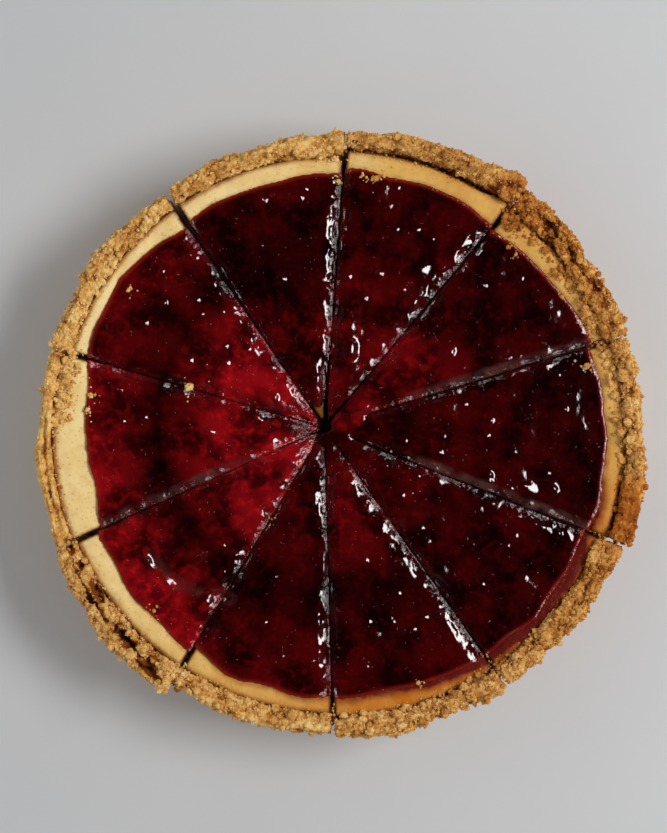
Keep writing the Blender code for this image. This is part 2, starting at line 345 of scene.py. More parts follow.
# %% [markdown]
# ## The crumb crust
#
# The crust is pressed biscuit crumbs, baked hard. Where the tin held it, it
# is dense and nearly flat. The rim was broken open when the cake came out:
# there it is lumps of a few millimetres, each made of grains of about one.
# So the skin is displaced three times, by ever finer textures: clouds for
# the slow unevenness, then two cell textures whose cells bulge like lumps
# and grains. A weight keeps the cut faces and the underside quiet. How far
# each point was pushed in or out is kept, because it carries painted light
# and shade: the tops of the crumbs are painted paler and the hollows between
# them darker.

# %% Crust pieces
CRUST_GRAIN = 0.7 * MM
RIM_DEPTH = 12 * MM                          # how far down the broken rim reaches

crust_swell = texture("crust_swell", "CLOUDS", 12 * MM, noise_depth=1)
crust_lumps = texture("crust_lumps", "VORONOI", 5.2 * MM, distance_metric="DISTANCE_SQUARED")
crust_knobs = texture("crust_knobs", "VORONOI", 2.7 * MM, distance_metric="DISTANCE_SQUARED")
crust_grit = texture("crust_grit", "CLOUDS", 1.1 * MM, noise_depth=1)

# How broken the rim is round the cake: direction in degrees and looseness.
LOOSENESS = ((0, 0.75), (20, 0.9), (45, 1.0), (60, 0.6), (85, 0.65), (100, 0.6), (120, 0.55),
             (140, 0.75), (160, 0.6), (175, 0.3), (198, 0.35), (206, 1.0), (235, 1.0), (245, 0.6),
             (268, 0.7), (285, 1.0), (305, 0.9), (335, 0.85), (345, 0.35), (353, 0.7), (360, 0.75))
# How brown the crumbs of the rim are, in the same way: 0 is pale gold. It is
# partly how well baked they are and partly painted shade on the right-hand side.
RIM_BROWNING_AND_SHADE = ((0, 0.34), (14, 0.42), (22, 0.70), (38, 0.82), (52, 0.90), (60, 0.62), (85, 0.30), (100, 0.14),
                (120, 0.12), (145, 0.04), (178, 0.04), (200, 0.12), (206, 0.30), (220, 0.36), (236, 0.28),
                (245, 0.20), (265, 0.25), (280, 0.45), (300, 0.52), (322, 0.62), (330, 0.80), (337, 0.70),
                (341, 1.0), (350, 1.0), (354, 0.45), (360, 0.34))
# Holes broken into the rim: x, y, half length, half width and depth in mm, turn in degrees.
HOLES = ((-90.8, -57.7, 5.5, 2.0, 6.5, 115), (-79.6, -77.4, 5.0, 2.2, 7.0, 130),
         (-71.4, -88.0, 6.5, 1.7, 7.0, 138), (71.0, 77.0, 2.6, 1.6, 5.5, 137), (76.6, 72.5, 3.0, 1.6, 5.5, 130),
         (57.2, 91.1, 3.6, 1.8, 6.0, 150), (-101.0, -42.0, 4.0, 1.4, 4.5, 110),
         (-96.5, -49.0, 3.0, 1.6, 4.5, 120), (97.5, -49.0, 2.0, 1.4, 2.0, 70))
DEEPEST_HOLE = 7.0                           # in mm


def by_direction(points, table):
    """The value of a table of (direction, value) in the direction of each point."""
    turn = np.degrees(np.arctan2(points[:, 1], points[:, 0])) % 360.0
    places, values = zip(*table)
    return np.interp(turn, places, values)


def hill(points, x, y, half_length, half_width, turn):
    """A smooth oval hill, 1 in its middle, over a place given in mm."""
    along, across = math.cos(math.radians(turn)), math.sin(math.radians(turn))
    dx, dy = points[:, 0] - x * MM, points[:, 1] - y * MM
    u = (dx * along + dy * across) / (half_length * MM)
    v = (dy * along - dx * across) / (half_width * MM)
    return 1.0 - step_up(np.hypot(u, v), 0.0, 1.0)


def hole_at(points):
    """How deep the holes of the rim are at each point, in parts of the deepest."""
    depths = [depth / DEEPEST_HOLE * hill(points, x, y, 1.25 * length, 1.4 * width, turn)
              for x, y, length, width, depth, turn in HOLES]
    return np.max(depths, axis=0)


def make_crust(cut):
    """The crust of one slice, from its plain solid."""
    node = "crust_" + cut.number
    piece = copy_of(node, "crumb_" + node)
    remesh(piece, CRUST_GRAIN)
    points, normals = points_of(piece.data), normals_of(piece.data)
    rim = step_up(points[:, 2], CAKE_HIGH.z - 1.8 * RIM_DEPTH, CAKE_HIGH.z - RIM_DEPTH)
    cut_face = 1.0 - step_up(cut.from_cut(points), 0.3 * MM, 1.8 * MM)
    underside = step_up(-normals[:, 2], 0.6, 0.9)
    calm = (1.0 - 0.8 * cut_face) * (1.0 - underside)
    outside = step_up(np.hypot(points[:, 0], points[:, 1]), 98 * MM, 106 * MM)
    loose = rim * by_direction(points, LOOSENESS)
    weigh(piece, "loose", calm * (0.25 + 0.75 * loose) * (0.15 + 0.85 * outside))
    weigh(piece, "lumpy", calm * loose * outside)
    base_side = cut_face * (1.0 - step_up(points[:, 2], 6.0 * MM, 9.0 * MM)) * (1.0 - np.abs(normals[:, 2]))
    widening = np.interp(np.hypot(points[:, 0], points[:, 1]), (0, 0.113), (0.3, 1.0))
    push(piece, "base_side", base_side * widening, 0.7 * MM)
    hole = hole_at(points)
    push(piece, "hole", hole * rim * step_up(normals[:, 2], -0.2, 0.4), -DEEPEST_HOLE * MM, direction="Z")
    displace(piece, crust_swell, 2.6 * MM, "lumpy")
    displace(piece, crust_lumps, -3.3 * MM, "lumpy", middle=0.27)
    middle = points_of(piece.data)
    displace(piece, crust_knobs, -1.5 * MM, "loose", middle=0.30)
    displace(piece, crust_grit, 0.9 * MM, "loose")
    end = points_of(piece.data)
    lift = ((middle - points) * normals).sum(1)
    fine = ((end - middle) * normals).sum(1)
    # painted light and shade: paler on the crumb tops, darker in the hollows between them, in the holes and on
    # the cut sides of the base
    store(piece, "tone_and_shade", 0.44 + 0.26 * lift / MM + 0.60 * fine / MM - 1.2 * hole * rim - 0.25 * base_side)
    # browning of the rim, with painted shade on its right-hand side
    store(piece, "browning_and_shade", by_direction(points, RIM_BROWNING_AND_SHADE))
    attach(piece, "root")
    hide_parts(node)
    return piece


crusts = [make_crust(cut) for cut in slices.values()]
print("crust pieces:", len(crusts), "faces each about", len(crusts[0].data.polygons))

# %% [markdown]
# ## The baked filling
#
# The filling is smooth baked cheese, pale cream with a tan band along the
# wall and a browner tone round the right-hand side, which is partly baked
# colour and partly painted shade from the rim. Its surface is a soft skin
# with slow dents and tiny pores. The remeshed copy still shows the flat
# facets of the plain solid, so its top is smoothed many times, and only
# then displaced.

# %% Filling pieces
FILLING_GRAIN = 0.95 * MM

filling_dents = texture("filling_dents", "CLOUDS", 13 * MM, noise_depth=1)
filling_pores = texture("filling_pores", "CLOUDS", 2.6 * MM, noise_depth=2)

# Round the cake, in degrees: how brown the filling is, partly baked colour and
# partly painted shade of the rim on the right-hand side, and how far the jam stained it.
BROWNING_AND_SHADE = ((0, 0.55), (30, 0.50), (60, 0.64), (85, 0.38), (110, 0.12), (160, 0.0), (190, 0.05),
            (215, 0.22), (238, 0.45), (262, 0.70), (285, 0.92), (310, 1.0), (335, 0.98), (350, 0.75),
            (360, 0.55))
STAIN = ((0, 0.28), (35, 0.25), (90, 0.2), (170, 0.12), (215, 0.2), (260, 0.40), (285, 0.70), (303, 1.0),
         (312, 1.2), (332, 1.2), (340, 0.75), (352, 0.45), (360, 0.28))


def distance_to(points, targets):
    """Level distance from each point to the nearest target."""
    tree = KDTree(len(targets))
    for index, target in enumerate(targets):
        tree.insert((target[0], target[1], 0.0), index)
    tree.balance()
    return np.array([tree.find((x, y, 0.0))[2] for x, y in points[:, :2]])


def shore_of(number):
    """The jam's outer edge, as points 0.5 mm apart."""
    cut = slices[number]
    corners = points_of(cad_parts["jam_" + number].data)[:, :2] - cut.tip
    along = corners @ cut.outward
    turn = np.arctan2(corners[:, 1] * cut.outward[0] - corners[:, 0] * cut.outward[1], along)
    reach = np.hypot(corners[:, 0], corners[:, 1])
    bins = np.rint(turn / math.radians(1.2)).astype(int)
    outer = [np.argmax(np.where(bins == place, reach, 0.0)) for place in np.unique(bins)]
    outer = [index for index in outer if reach[index] > 0.9 * reach.max()]
    turns = np.linspace(turn[outer].min(), turn[outer].max(), 160)
    reaches = np.interp(turns, turn[outer], reach[outer])
    turns += math.atan2(cut.outward[1], cut.outward[0])
    return np.column_stack([np.cos(turns), np.sin(turns)]) * reaches[:, None] + cut.tip


def make_filling(cut):
    """The filling of one slice, with the marks that its finish reads."""
    node = "filling_" + cut.number
    piece = copy_of(node, "baked_" + node)
    remesh(piece, FILLING_GRAIN)
    points, normals = points_of(piece.data), normals_of(piece.data)
    side = cut.from_cut(points)
    top = step_up(normals[:, 2], 0.3, 0.7) * step_up(points[:, 2], 30 * MM, 32 * MM)
    weigh(piece, "top", top * step_up(side, 0.5 * MM, 1.5 * MM))
    weigh(piece, "skin", 0.35 + 0.65 * top)
    apply_modifier(piece, "SMOOTH", factor=0.5, iterations=14, vertex_group="top")
    displace(piece, filling_dents, 1.9 * MM, "top")
    displace(piece, filling_pores, 0.65 * MM, "skin")
    points = points_of(piece.data)
    store(piece, "from_jam", distance_to(points, shore_of(cut.number)) / MM)
    cut_face = 1.0 - step_up(cut.from_cut(points), 0.3 * MM, 1.3 * MM)
    store(piece, "smear", cut_face * step_up(points[:, 2], 12 * MM, 30 * MM))
    # browning, partly painted shade where the rim shades the right-hand side
    store(piece, "browning_and_shade", by_direction(points, BROWNING_AND_SHADE))
    store(piece, "stain", by_direction(points, STAIN))
    reach = np.hypot(points[:, 0], points[:, 1])
    store(piece, "tan", step_up(reach, reach.max() - 2.6 * MM, reach.max() - 1.0 * MM))
    store(piece, "covered", 1.0 - step_up(reach, 60 * MM, 80 * MM))
    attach(piece, "root")
    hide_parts(node)
    return piece


fillings = [make_filling(cut) for cut in slices.values()]
print("filling pieces:", len(fillings), "faces each about", len(fillings[0].data.polygons))

# %% [markdown]
# ## The jam
#
# The jam is a few millimetres of dark berry jam, wet and glossy. Left alone
# it settles into a smooth skin that mirrors almost nothing. The knife tore
# it: along the cuts, and most of all at the tips, the skin is wrinkled. Some
# fruit is still whole and lifts the skin into low mounds. So smoothing comes
# first, then slow waves everywhere, and fine wrinkles only where a weight
# says that the knife has been.

# %% Jam pieces
JAM_GRAIN = 0.6 * MM

jam_waves = texture("jam_waves", "CLOUDS", 16 * MM, noise_depth=1)
jam_lumps = texture("jam_lumps", "CLOUDS", 4.4 * MM, noise_depth=1)
jam_wrinkles = texture("jam_wrinkles", "CLOUDS", 1.6 * MM, noise_depth=2)
jam_ragged = texture("jam_ragged", "CLOUDS", 6.0 * MM, noise_depth=2)

# Fruit under the skin: x, y, half length, half width and height in mm, turn in degrees.
FRUIT = ((4.1, 31.6, 7.0, 4.0, 1.5, 80), (-4.5, -48.4, 8.0, 4.0, 1.6, 70), (42.0, 31.0, 4.0, 2.6, 1.0, 75),
         (-52.0, -74.0, 7.0, 3.0, 1.5, 60), (-11.0, 8.0, 8.0, 4.5, 1.6, 100), (-9.0, -9.0, 7.0, 4.5, 1.5, 60),
         (30.0, 62.0, 6.5, 4.5, 1.0, 10), (-38.0, 50.0, 6.0, 4.0, 1.0, 40), (38.0, -52.0, 7.0, 4.5, 0.9, 120),
         (70.0, -20.0, 6.0, 4.0, 0.8, 160), (-66.0, 2.0, 6.5, 4.0, 1.0, 10), (12.0, -76.0, 6.0, 4.0, 0.9, 30))
# Folds of the skin: start and end in mm, height and half width in mm.
FOLDS = (((-71.0, -45.5), (-60.5, -56.0), 0.9, 3.4), ((-60.5, -56.0), (-41.0, -62.0), 0.9, 3.4))
MOUNDS = 150                                 # small lumps of pulp
# Linear red of the jam for each slice near the wall, half way and near the tip.
REDNESS = {"01": (0.022, 0.030, 0.085), "02": (0.026, 0.032, 0.070), "03": (0.031, 0.012, 0.050),
           "04": (0.066, 0.030, 0.170), "05": (0.170, 0.013, 0.155), "06": (0.200, 0.017, 0.160),
           "07": (0.050, 0.015, 0.040), "08": (0.032, 0.014, 0.065), "09": (0.024, 0.023, 0.036),
           "10": (0.017, 0.028, 0.030)}
RED_MARGIN = {"04": (3.5, 0.17), "05": (6.0, 0.24), "06": (6.0, 0.22)}   # width in mm and red of the thin edge
TORN_TIPS = {"02": 0.4, "03": 0.3, "04": 1.0, "05": 1.0, "06": 1.0, "07": 0.4}
SLUMPED_TIPS = {"04": 1.0, "05": 1.0, "06": 1.0}
# Slices with a rougher band beside one of their cuts, where a greyish sheen is painted on.
SHEEN_BESIDE = {"01": "first", "10": "first", "05": "last"}
LEAST = 0.02                                 # a fruit or fold this faint belongs to another slice


def from_line(points, start, end):
    """Level distance of points from a straight line between two places in mm."""
    start, end = np.array(start) * MM, np.array(end) * MM
    along = end - start
    part = np.clip((points[:, :2] - start) @ along / (along @ along), 0.0, 1.0)
    return np.hypot(*(points[:, :2] - start - part[:, None] * along).T)


chance = np.random.RandomState(20)
pulp_lumps = [(away * math.cos(turn), away * math.sin(turn), radius, math.degrees(3 * turn))
              for away, turn, radius in zip(96.0 * np.sqrt(chance.uniform(0.0, 1.0, MOUNDS)),
                                            chance.uniform(0.0, 2 * math.pi, MOUNDS),
                                            0.9 + 1.3 * chance.uniform(0.0, 1.0, MOUNDS) ** 2)]


# %% Marks on the skin of the jam
def torn_skin(cut, side, away):
    """How torn the skin is: along the cuts by stretches, and at the tip."""
    phase = 1.7 * int(cut.number)
    broken = step_up(np.sin(230.0 * away + phase) + 0.6 * np.sin(610.0 * away + 2.0 * phase), -0.7, 0.5)
    torn = (1.0 - step_up(side, 0.3 * MM, 2.6 * MM)) * (0.45 + 0.55 * broken)
    tip = 1.0 - step_up(away, 5 * MM, 19 * MM)
    return np.maximum(torn * (1.0 - tip), TORN_TIPS.get(cut.number, 0.0) * tip)


def pulp_at(points):
    """Low round lumps of pulp, from 0 to about 1."""
    pulp = np.zeros(len(points))
    for x, y, radius, turn in pulp_lumps:
        pulp = np.maximum(pulp, radius / 3.0 * hill(points, x, y, 1.4 * radius, radius, turn))
    return pulp


def painted_sheen_band(cut, points, away):
    """The band along one side of a slice that is rougher and gets a painted greyish sheen, or nothing."""
    if cut.number not in SHEEN_BESIDE:
        return np.zeros(len(points))
    beside = cut.from_first(points) if SHEEN_BESIDE[cut.number] == "first" else cut.from_last(points)
    return 0.8 * (1.0 - step_up(beside, 1.8 * MM, 4.0 * MM)) * step_up(away, 25 * MM, 45 * MM)


def red_and_thin(cut, points, away):
    """How red the jam is, and how near each point is to its thin edge."""
    outer, middle, inner = REDNESS[cut.number]
    red = np.interp(away, (18 * MM, 40 * MM, 62 * MM, 88 * MM), (inner, inner, middle, outer))
    edge = distance_to(points, shore_of(cut.number)) / MM
    margin, thin_red = RED_MARGIN.get(cut.number, (2.4, 0.085))
    red = np.maximum(red, thin_red * (1.0 - step_up(edge, 0.1 * margin, margin)))
    return red, 1.0 - step_up(edge, 0.5, 2.6)


# %% Make the jam
def make_jam(cut):
    """The jam of one slice: smoothed, then waved, wrinkled and lifted by fruit."""
    node = "jam_" + cut.number
    piece = copy_of(node, "berry_" + node)
    remesh(piece, JAM_GRAIN)
    points, normals = points_of(piece.data), normals_of(piece.data)
    side = cut.from_cut(points)
    top = step_up(normals[:, 2], 0.2, 0.6)
    away = np.hypot(*(points[:, :2] - cut.tip).T)
    torn = torn_skin(cut, side, away)
    sag = (1.0 - step_up(side, 1.2 * MM, 5.0 * MM)) * step_up(away, 6 * MM, 16 * MM)
    for group, weights in (("top", top * step_up(side, 0.4 * MM, 1.2 * MM)), ("skin", top),
                           ("wrinkled", top * torn), ("beside_cut", top * sag)):
        weigh(piece, group, weights)
    apply_modifier(piece, "SMOOTH", factor=0.5, iterations=14, vertex_group="top")
    for pattern, height, group in ((jam_waves, 1.5, "skin"), (jam_lumps, 0.45, "skin"),
                                   (jam_ragged, 2.4, "beside_cut"), (jam_wrinkles, 1.2, "wrinkled")):
        displace(piece, pattern, height * MM, group)
    push(piece, "under", step_up(-normals[:, 2], 0.3, 0.7), 0.45 * MM)
    for number, (x, y, length, width, height, turn) in enumerate(FRUIT):
        mound = hill(points, x, y, length, width, turn) * top * step_up(side, 0.0, 2.0 * MM)
        if mound.max() > LEAST:
            push(piece, "fruit_%d" % number, mound, height * MM)
    push(piece, "pulp", pulp_at(points) * top * step_up(side, 0.3 * MM, 2.0 * MM), 1.4 * MM)
    cut_face = (1.0 - step_up(np.abs(normals[:, 2]), 0.5, 0.9)) * (1.0 - step_up(side, 0.4 * MM, 1.0 * MM))
    push(piece, "sides", cut_face * np.interp(away, (0.0, 90 * MM), (0.75, 1.0)), 0.48 * MM)
    slumped = SLUMPED_TIPS.get(cut.number, 0.0) * (1.0 - step_up(away, 2 * MM, 13 * MM)) * top
    push(piece, "slumped", slumped, -2.3 * MM, direction="Z")
    # the band beside a cut that is rougher and gets a painted sheen
    dull_and_sheen = painted_sheen_band(cut, points, away)
    for number, (start, end, height, width) in enumerate(FOLDS):
        fold = (1.0 - step_up(from_line(points, start, end), 0.0, width * MM)) * top
        if fold.max() > LEAST:
            push(piece, "fold_%d" % number, fold, -height * MM)
            # the fold is rougher too and gets some painted sheen
            dull_and_sheen = np.maximum(dull_and_sheen, 0.45 * fold)
    red, thin = red_and_thin(cut, points, away)
    for name, values in (("thin", thin), ("redness", red), ("torn", torn), ("dull_and_sheen", dull_and_sheen)):
        store(piece, name, values)
    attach(piece, "root")
    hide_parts(node)
    return piece


jams = [make_jam(cut) for cut in slices.values()]
print("jam pieces:", len(jams), "faces each about", len(jams[0].data.polygons))

# %% [markdown]
# ## The jam in the middle
#
# Where all the cuts meet, jam has run together again: a smooth red lens over
# the tips on the right and a dark pool over the slits below. Both are balls
# pressed flat. A voxel remesh makes one body of them, and slow waves take
# away the last of the round outline.

# %% Pool and lens of jam
POOL_BALLS = (((4.6, 4.8, 37.1), (7.8, 4.3, 1.7), 12), ((1.4, -1.4, 36.2), (6.0, 3.4, 1.9), -25),
              ((-4.5, -2.5, 36.0), (4.2, 3.6, 2.0), 20))      # middle, half sizes in mm and turn in degrees

bpy.ops.object.select_all(action="DESELECT")
pool_parts = []
for middle, half_sizes, turn in POOL_BALLS:
    bpy.ops.mesh.primitive_uv_sphere_add(segments=32, ring_count=20, radius=1.0 * MM,
                                         location=Vector(middle) * MM)
    ball = bpy.context.object
    bpy.ops.object.mode_set(mode="EDIT")
    bpy.ops.mesh.select_all(action="SELECT")
    bpy.ops.transform.resize(value=half_sizes, center_override=ball.location)
    bpy.ops.transform.rotate(value=-math.radians(turn), orient_axis="Z", center_override=ball.location)
    bpy.ops.object.mode_set(mode="OBJECT")
    pool_parts.append(ball)
for item in pool_parts:
    item.select_set(True)
bpy.context.view_layer.objects.active = pool_parts[0]
bpy.ops.object.join()
pool = bpy.context.object
pool.name = pool.data.name = "jam_pool"
bpy.ops.object.transform_apply(location=True, rotation=True, scale=True)
remesh(pool, 0.4 * MM)
apply_modifier(pool, "SMOOTH", factor=0.5, iterations=8)
points = points_of(pool.data)
weigh(pool, "skin", np.ones(len(points)))
displace(pool, jam_lumps, 0.5 * MM, "skin")
lens = step_up(points[:, 1], 0.0, 3.0 * MM)
store(pool, "redness", 0.018 + 0.085 * lens)
for name in ("torn", "dull_and_sheen", "thin"):
    store(pool, name, np.zeros(len(points)))
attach(pool, "root")
print("pool:", len(pool.data.polygons), "faces, from", len(pool_parts), "balls")

# %% [markdown]
# ## Crumbs and seeds
#
# The broken rim is covered with loose crumbs: clumps of two or three
# millimetres, crumbs of about one and fine grains between them. In the jam
# sit small seeds. Thousands of them could be made by particles or instances,
# but what is handed on must be plain mesh. So one of each kind is modelled by
# hand, few-sided, and arrays join the copies into one mesh for each kind.

# %% Model one crumb of each kind
def broken_ball(name, radius, sides, cuts, uneven=0.28):
    """A ball with flat broken faces, each given by its direction and depth."""
    bpy.ops.object.select_all(action="DESELECT")
    bpy.ops.mesh.primitive_uv_sphere_add(segments=sides[0], ring_count=sides[1], radius=radius,
                                         location=(0.0, 0.0, 0.0))
    ball = bpy.context.object
    ball.name = name
    bpy.ops.object.mode_set(mode="EDIT")
    for direction, depth in cuts:
        bpy.ops.mesh.select_all(action="SELECT")
        bpy.ops.mesh.bisect(plane_co=Vector(direction).normalized() * radius * depth, plane_no=direction,
                            use_fill=True, clear_outer=True)
    bpy.ops.mesh.select_all(action="SELECT")
    bpy.ops.transform.resize(value=(1.0, 0.86, 0.74), center_override=(0.0, 0.0, 0.0))
    bpy.ops.transform.vertex_random(offset=uneven * radius, uniform=0.5, seed=len(name))
    bpy.ops.mesh.quads_convert_to_tris()
    bpy.ops.mesh.normals_make_consistent(inside=False)
    bpy.ops.object.mode_set(mode="OBJECT")
    corners = points_of(ball.data)
    faces = np.array([list(face.vertices) for face in ball.data.polygons])
    bpy.data.objects.remove(ball)
    return corners, faces


clump_kinds = [broken_ball("clump_a", 1.0 * MM, (8, 6), (((1.0, 0.3, 0.6), 0.62), ((-0.8, 0.7, 0.2), 0.7))),
               broken_ball("clump_b", 1.0 * MM, (8, 6), (((0.2, 1.0, 0.5), 0.55),)),
               broken_ball("clump_c", 1.0 * MM, (8, 6), (((-0.5, -0.6, 0.9), 0.66), ((0.9, -0.5, 0.0), 0.6)))]
crumb_kinds = [broken_ball("crumb_a", 1.0 * MM, (6, 5), (((0.8, 0.5, 0.5), 0.72),)),
               broken_ball("crumb_b", 1.0 * MM, (6, 5), ())]
grain_kinds = [broken_ball("grain", 1.0 * MM, (4, 3), ())]
seed_kinds = [broken_ball("seed", 1.0 * MM, (7, 4), (), uneven=0.05)]
for kinds in (clump_kinds, crumb_kinds, grain_kinds, seed_kinds):
    print("faces:", [len(faces) for corners, faces in kinds])

# %% Join many copies into one mesh
def random_turns(count):
    """Rotation matrices that point every way."""
    a, b, c, d = (chance.normal(size=(4, count)))
    length = np.sqrt(a * a + b * b + c * c + d * d)
    a, b, c, d = a / length, b / length, c / length, d / length
    return np.array([[1 - 2 * (c * c + d * d), 2 * (b * c - a * d), 2 * (b * d + a * c)],
                     [2 * (b * c + a * d), 1 - 2 * (b * b + d * d), 2 * (c * d - a * b)],
                     [2 * (b * d - a * c), 2 * (c * d + a * b), 1 - 2 * (b * b + c * c)]]).transpose(2, 0, 1)


def join_copies(name, kinds, places, sizes, marks, smooth=False):
    """One mesh with a copy of a kind at every place, scaled to its size in mm."""
    corners, faces, owners, start = [], [], [], 0
    chosen = chance.randint(len(kinds), size=len(places))
    turns = random_turns(len(places))
    for number, (shape, sides) in enumerate(kinds):
        own = np.nonzero(chosen == number)[0]
        turned = np.einsum("nij,kj->nki", turns[own], shape) * sizes[own, None, None]
        corners.append((turned + places[own, None, :]).reshape(-1, 3))
        steps = start + np.arange(len(own)) * len(shape)
        faces.append((sides[None] + steps[:, None, None]).reshape(-1, 3))
        owners.append(np.repeat(own, len(shape)))
        start += len(own) * len(shape)
    corners, faces, owners = np.concatenate(corners), np.concatenate(faces), np.concatenate(owners)
    mesh = bpy.data.meshes.new(name)
    mesh.vertices.add(len(corners))
    mesh.loops.add(faces.size)
    mesh.polygons.add(len(faces))
    mesh.loops.foreach_set("vertex_index", faces.ravel().astype(np.int32))
    mesh.polygons.foreach_set("loop_start", np.arange(0, faces.size, 3, dtype=np.int32))
    mesh.polygons.foreach_set("use_smooth", np.full(len(faces), smooth))
    set_points(mesh, corners)
    mesh.update(calc_edges=True)
    mesh.validate()
    piece = bpy.data.objects.new(name, mesh)
    bpy.context.collection.objects.link(piece)
    for mark, values in marks.items():
        store(piece, mark, values[owners])
    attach(piece, "root")
    print(name, len(places), "copies", len(faces), "faces")
    return piece


# %% [markdown]
# Crumbs lie where the rim is broken, some have rolled onto the filling, and a
# few bridge the cuts. A place on the rim is drawn from the crust's own
# vertices, so that the crumb always touches. For all the others a ray is sent
# straight down, and the crumb lies where it first meets the cake.

# %% Find places on the rim
surfaces = [BVHTree.FromObject(piece, bpy.context.evaluated_depsgraph_get())
            for piece in crusts + fillings + jams]


def surface_at(x, y):
    """The highest point of the cake above a place, with its normal."""
    hits = [tree.ray_cast(Vector((x, y, 0.2)), Vector((0.0, 0.0, -1.0))) for tree in surfaces]
    hits = [hit for hit in hits if hit[0] is not None]
    if not hits:
        return None
    place, normal = max(hits, key=lambda hit: hit[0].z)[:2]
    return place, normal


# How far the crumbs spill in from the rim, in mm, by direction in degrees.
SPILL = ((0, 6.5), (17, 6.5), (24, 8.5), (31, 6.0), (38, 8.5), (43, 6.5), (48, 9.5), (52, 7.5), (55, 2.0),
         (64, 2.0), (66, 4.5), (69, 2.0), (86, 2.6), (92, 6.0), (98, 2.2), (124, 2.0), (130, 3.6),
         (160, 3.6), (165, 7.6), (177, 7.4), (181, 2.0), (200, 2.4), (236, 3.2), (270, 3.4), (300, 4.4),
         (322, 4.0), (338, 2.2), (352, 3.5), (360, 5.5))
# Where the filling ends at the wall, in mm from the middle, in the same way.
RIM_INSIDE = ((0, 109.5), (15, 109.5), (20, 108.6), (48, 108.6), (52, 107.8), (336, 107.8), (341, 109.5),
              (360, 109.5))

crust_points = np.concatenate([points_of(piece.data) for piece in crusts])
crust_normals = np.concatenate([normals_of(piece.data) for piece in crusts])
reach = np.hypot(crust_points[:, 0], crust_points[:, 1])
on_rim = step_up(reach, 101 * MM, 104.5 * MM) * step_up(crust_normals[:, 2], -0.3, 0.4)
on_rim = on_rim * step_up(crust_points[:, 2], 30 * MM, 36 * MM)
on_rim = on_rim * by_direction(crust_points, LOOSENESS) ** 1.6
on_rim = on_rim * (1.0 - step_up(hole_at(crust_points), 0.05, 0.4))
on_rim = on_rim / on_rim.sum()


def rim_places(count, radii):
    """Random places on the rim, the crumb half sunk; returns the places."""
    chosen = chance.choice(len(crust_points), size=count, p=on_rim)
    lift = radii * chance.uniform(-0.25, 0.55, count) * MM
    return crust_points[chosen] + crust_normals[chosen] * lift[:, None]


def level_places(count, radii, inwards=1.0, widest=0.0):
    """Random places on the filling beside the rim, thinning out inwards."""
    found, used = [], []
    while len(found) < count:
        turn = chance.uniform(0.0, 2.0 * math.pi)
        width = float(by_direction(np.array([[math.cos(turn), math.sin(turn), 0.0]]), SPILL)[0])
        if chance.uniform(widest, 8.0) > width:
            continue
        edge = float(by_direction(np.array([[math.cos(turn), math.sin(turn), 0.0]]), RIM_INSIDE)[0])
        away = (edge - inwards * width * chance.uniform(0.0, 1.0) ** 1.3) * MM
        hit = surface_at(away * math.cos(turn), away * math.sin(turn))
        if hit is None:
            continue
        radius = radii[len(found)] * MM
        found.append(np.array(hit[0]) + np.array(hit[1]) * radius * 0.35)
    return np.array(found)


GAPING_CUT = 124.0                          # the one cut that crumbs do not bridge, in degrees


def bridge_places(count):
    """Random places over the cuts in the rim."""
    found = []
    directions = [cut.first for cut in slices.values()]
    while len(found) < count:
        turn = directions[chance.randint(len(directions))]
        if abs(math.degrees(turn) % 360.0 - GAPING_CUT) < 5.0:
            continue
        away = chance.uniform(104.0, 113.0) * MM
        aside = chance.normal(0.0, 0.7) * MM
        x, y = (away * math.cos(turn) - aside * math.sin(turn) + slices["01"].tip[0],
                away * math.sin(turn) + aside * math.cos(turn) + slices["01"].tip[1])
        beside = [surface_at(x - step * math.sin(turn), y + step * math.cos(turn))
                  for step in (-1.6 * MM, 1.6 * MM)]
        heights = [hit[0].z for hit in beside if hit is not None]
        if heights and max(heights) > 36 * MM and math.hypot(x, y) < 113.0 * MM:
            found.append((x, y, min(heights) - chance.uniform(0.2, 1.6) * MM))
    return np.array(found)


# %% [markdown]
# The mixture matters more than any one crumb: few clumps, many crumbs and far
# more grains, each kind with its own range of sizes. A few strays lie on the
# jam and the filling, each with a little dust of its own.

# %% Strew the crumbs
# Stray clumps on the jam and the filling: x and y in mm, radius in mm.
STRAYS = ((-56.5, 17.9, 2.0), (-79.2, 54.3, 1.0), (-93.4, 14.9, 1.2), (-94.5, 9.3, 1.1), (-0.4, 95.6, 1.2),
          (-25.7, -31.6, 0.9), (13.4, 96.7, 1.9), (93.4, 26.0, 1.7), (64.0, 70.5, 1.1), (66.5, 68.0, 0.8),
          (17.0, 97.0, 0.9), (9.0, 97.5, 0.8), (84.0, 52.0, 1.0), (-70.0, -66.0, 0.9), (30.0, -93.0, 1.0))


def stray_places(per_stray, spread):
    """Places at and around the strays; spread is in radii of the stray."""
    found = []
    for x, y, radius in STRAYS:
        for number in range(per_stray):
            hit = None
            while hit is None:
                dx, dy = chance.normal(0.0, max(spread * radius, 0.2), 2)
                hit = surface_at((x + dx) * MM, (y + dy) * MM)
            found.append(np.array(hit[0]))
    return np.array(found)


CLUMPS, CRUMBS, GRAINS, SPILLED = 560, 4000, 10200, 470
clump_radii = chance.uniform(0.8, 1.5, CLUMPS)
clumps = rim_places(CLUMPS, clump_radii)
clump_spill_radii = 0.7 + 1.2 * chance.uniform(0.0, 1.0, SPILLED) ** 2
stray_radii = np.array([radius for x, y, radius in STRAYS])
clumps = np.concatenate([clumps, level_places(SPILLED, clump_spill_radii, 0.9, 2.5), stray_places(1, 0.0)])
clump_radii = np.concatenate([clump_radii, clump_spill_radii, stray_radii])

